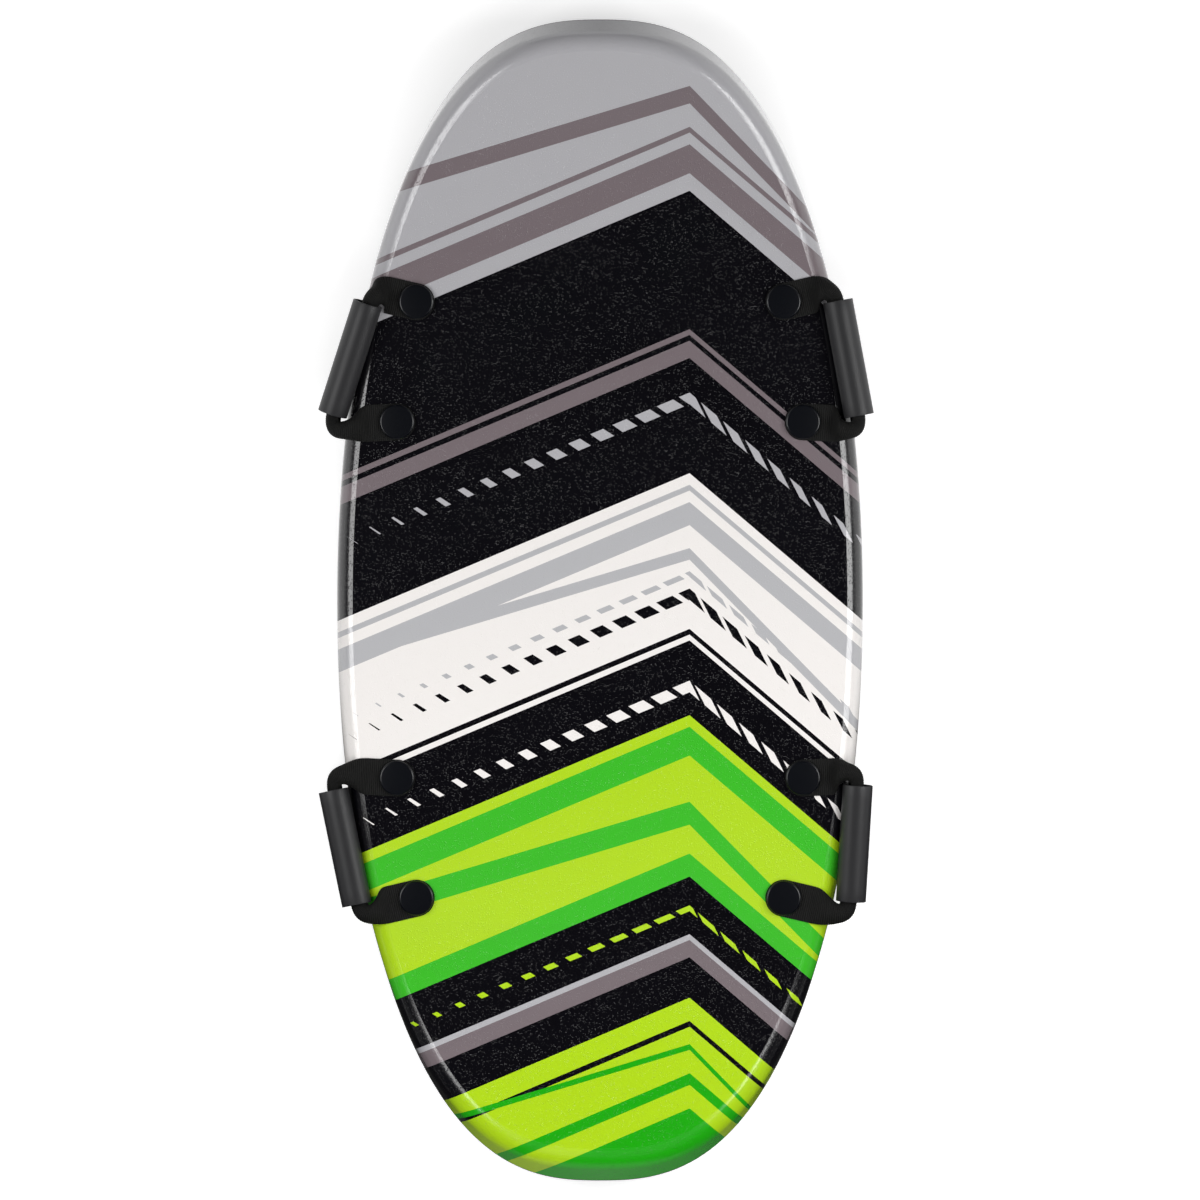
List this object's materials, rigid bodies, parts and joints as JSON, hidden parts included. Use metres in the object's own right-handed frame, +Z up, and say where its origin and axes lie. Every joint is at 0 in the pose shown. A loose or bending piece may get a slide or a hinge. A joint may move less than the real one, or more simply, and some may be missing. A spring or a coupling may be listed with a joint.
{
  "type": "foam snow sled",
  "caption": "Twin-tip foam snow sled for lying or sitting: a printed foam board with a slick underside and webbing handles with tube grips at its corners.",
  "frame": {"origin": "middle of the flat underside, where the board lies on the snow", "axes": "+X to the right seen from above, +Y towards the nose, +Z up out of the deck"},
  "size_m": [0.5272, 1.1004, 0.0928],
  "materials": {
    "foam": "matte",
    "film": "satin",
    "slick": "satin",
    "webbing": "matte",
    "grip": "satin",
    "rivet": "satin"
  },
  "bodies": {
    "board": {"foam_core": "foam", "deck_film": "film", "slick_bottom": "slick", "strap_end_front_right_inner": "webbing", "rivet_cap_front_right_inner": "rivet", "rivet_base_front_right_inner": "rivet", "strap_end_front_right_outer": "webbing", "rivet_cap_front_right_outer": "rivet", "rivet_base_front_right_outer": "rivet", "strap_end_front_left_inner": "webbing", "rivet_cap_front_left_inner": "rivet", "rivet_base_front_left_inner": "rivet", "strap_end_front_left_outer": "webbing", "rivet_cap_front_left_outer": "rivet", "rivet_base_front_left_outer": "rivet", "strap_end_rear_left_inner": "webbing", "rivet_cap_rear_left_inner": "rivet", "rivet_base_rear_left_inner": "rivet", "strap_end_rear_left_outer": "webbing", "rivet_cap_rear_left_outer": "rivet", "rivet_base_rear_left_outer": "rivet", "strap_end_rear_right_inner": "webbing", "rivet_cap_rear_right_inner": "rivet", "rivet_base_rear_right_inner": "rivet", "strap_end_rear_right_outer": "webbing", "rivet_cap_rear_right_outer": "rivet", "rivet_base_rear_right_outer": "rivet"},
    "handle_front_right": {"strap_loop_front_right": "webbing"},
    "tube_front_right": {"grip_front_right": "grip"},
    "handle_front_left": {"strap_loop_front_left": "webbing"},
    "tube_front_left": {"grip_front_left": "grip"},
    "handle_rear_left": {"strap_loop_rear_left": "webbing"},
    "tube_rear_left": {"grip_rear_left": "grip"},
    "handle_rear_right": {"strap_loop_rear_right": "webbing"},
    "tube_rear_right": {"grip_rear_right": "grip"}
  },
  "joints": [
    {"name": "swing_front_right", "type": "hinge", "parent": "board", "child": "handle_front_right", "pos_m": [0.20382, 0.22926, 0.0462], "axis": [0.1588, -0.9873, 0], "range_deg": [0, 95]},
    {"name": "spin_front_right", "type": "hinge", "parent": "handle_front_right", "child": "tube_front_right", "pos_m": [0.23571, 0.22932, 0.05215], "axis": [-0.1829, 0.9829, 0.0214], "continuous": true},
    {"name": "swing_front_left", "type": "hinge", "parent": "board", "child": "handle_front_left", "pos_m": [-0.20382, 0.22926, 0.0462], "axis": [0.1588, 0.9873, 0], "range_deg": [0, 95]},
    {"name": "spin_front_left", "type": "hinge", "parent": "handle_front_left", "child": "tube_front_left", "pos_m": [-0.23708, 0.22904, 0.05097], "axis": [-0.3042, -0.9453, -0.1175], "continuous": true},
    {"name": "swing_rear_left", "type": "hinge", "parent": "board", "child": "handle_rear_left", "pos_m": [-0.20382, -0.22926, 0.0462], "axis": [-0.1588, 0.9873, 0], "range_deg": [0, 95]},
    {"name": "spin_rear_left", "type": "hinge", "parent": "handle_rear_left", "child": "tube_rear_left", "pos_m": [-0.24191, -0.23488, 0.04401], "axis": [0.2017, -0.9793, 0.0181], "continuous": true},
    {"name": "swing_rear_right", "type": "hinge", "parent": "board", "child": "handle_rear_right", "pos_m": [0.20382, -0.22926, 0.0462], "axis": [-0.1588, -0.9873, 0], "range_deg": [0, 95]},
    {"name": "spin_rear_right", "type": "hinge", "parent": "handle_rear_right", "child": "tube_rear_right", "pos_m": [0.24136, -0.23074, 0.04696], "axis": [0.0581, 0.9958, 0.0711], "continuous": true}
  ]
}
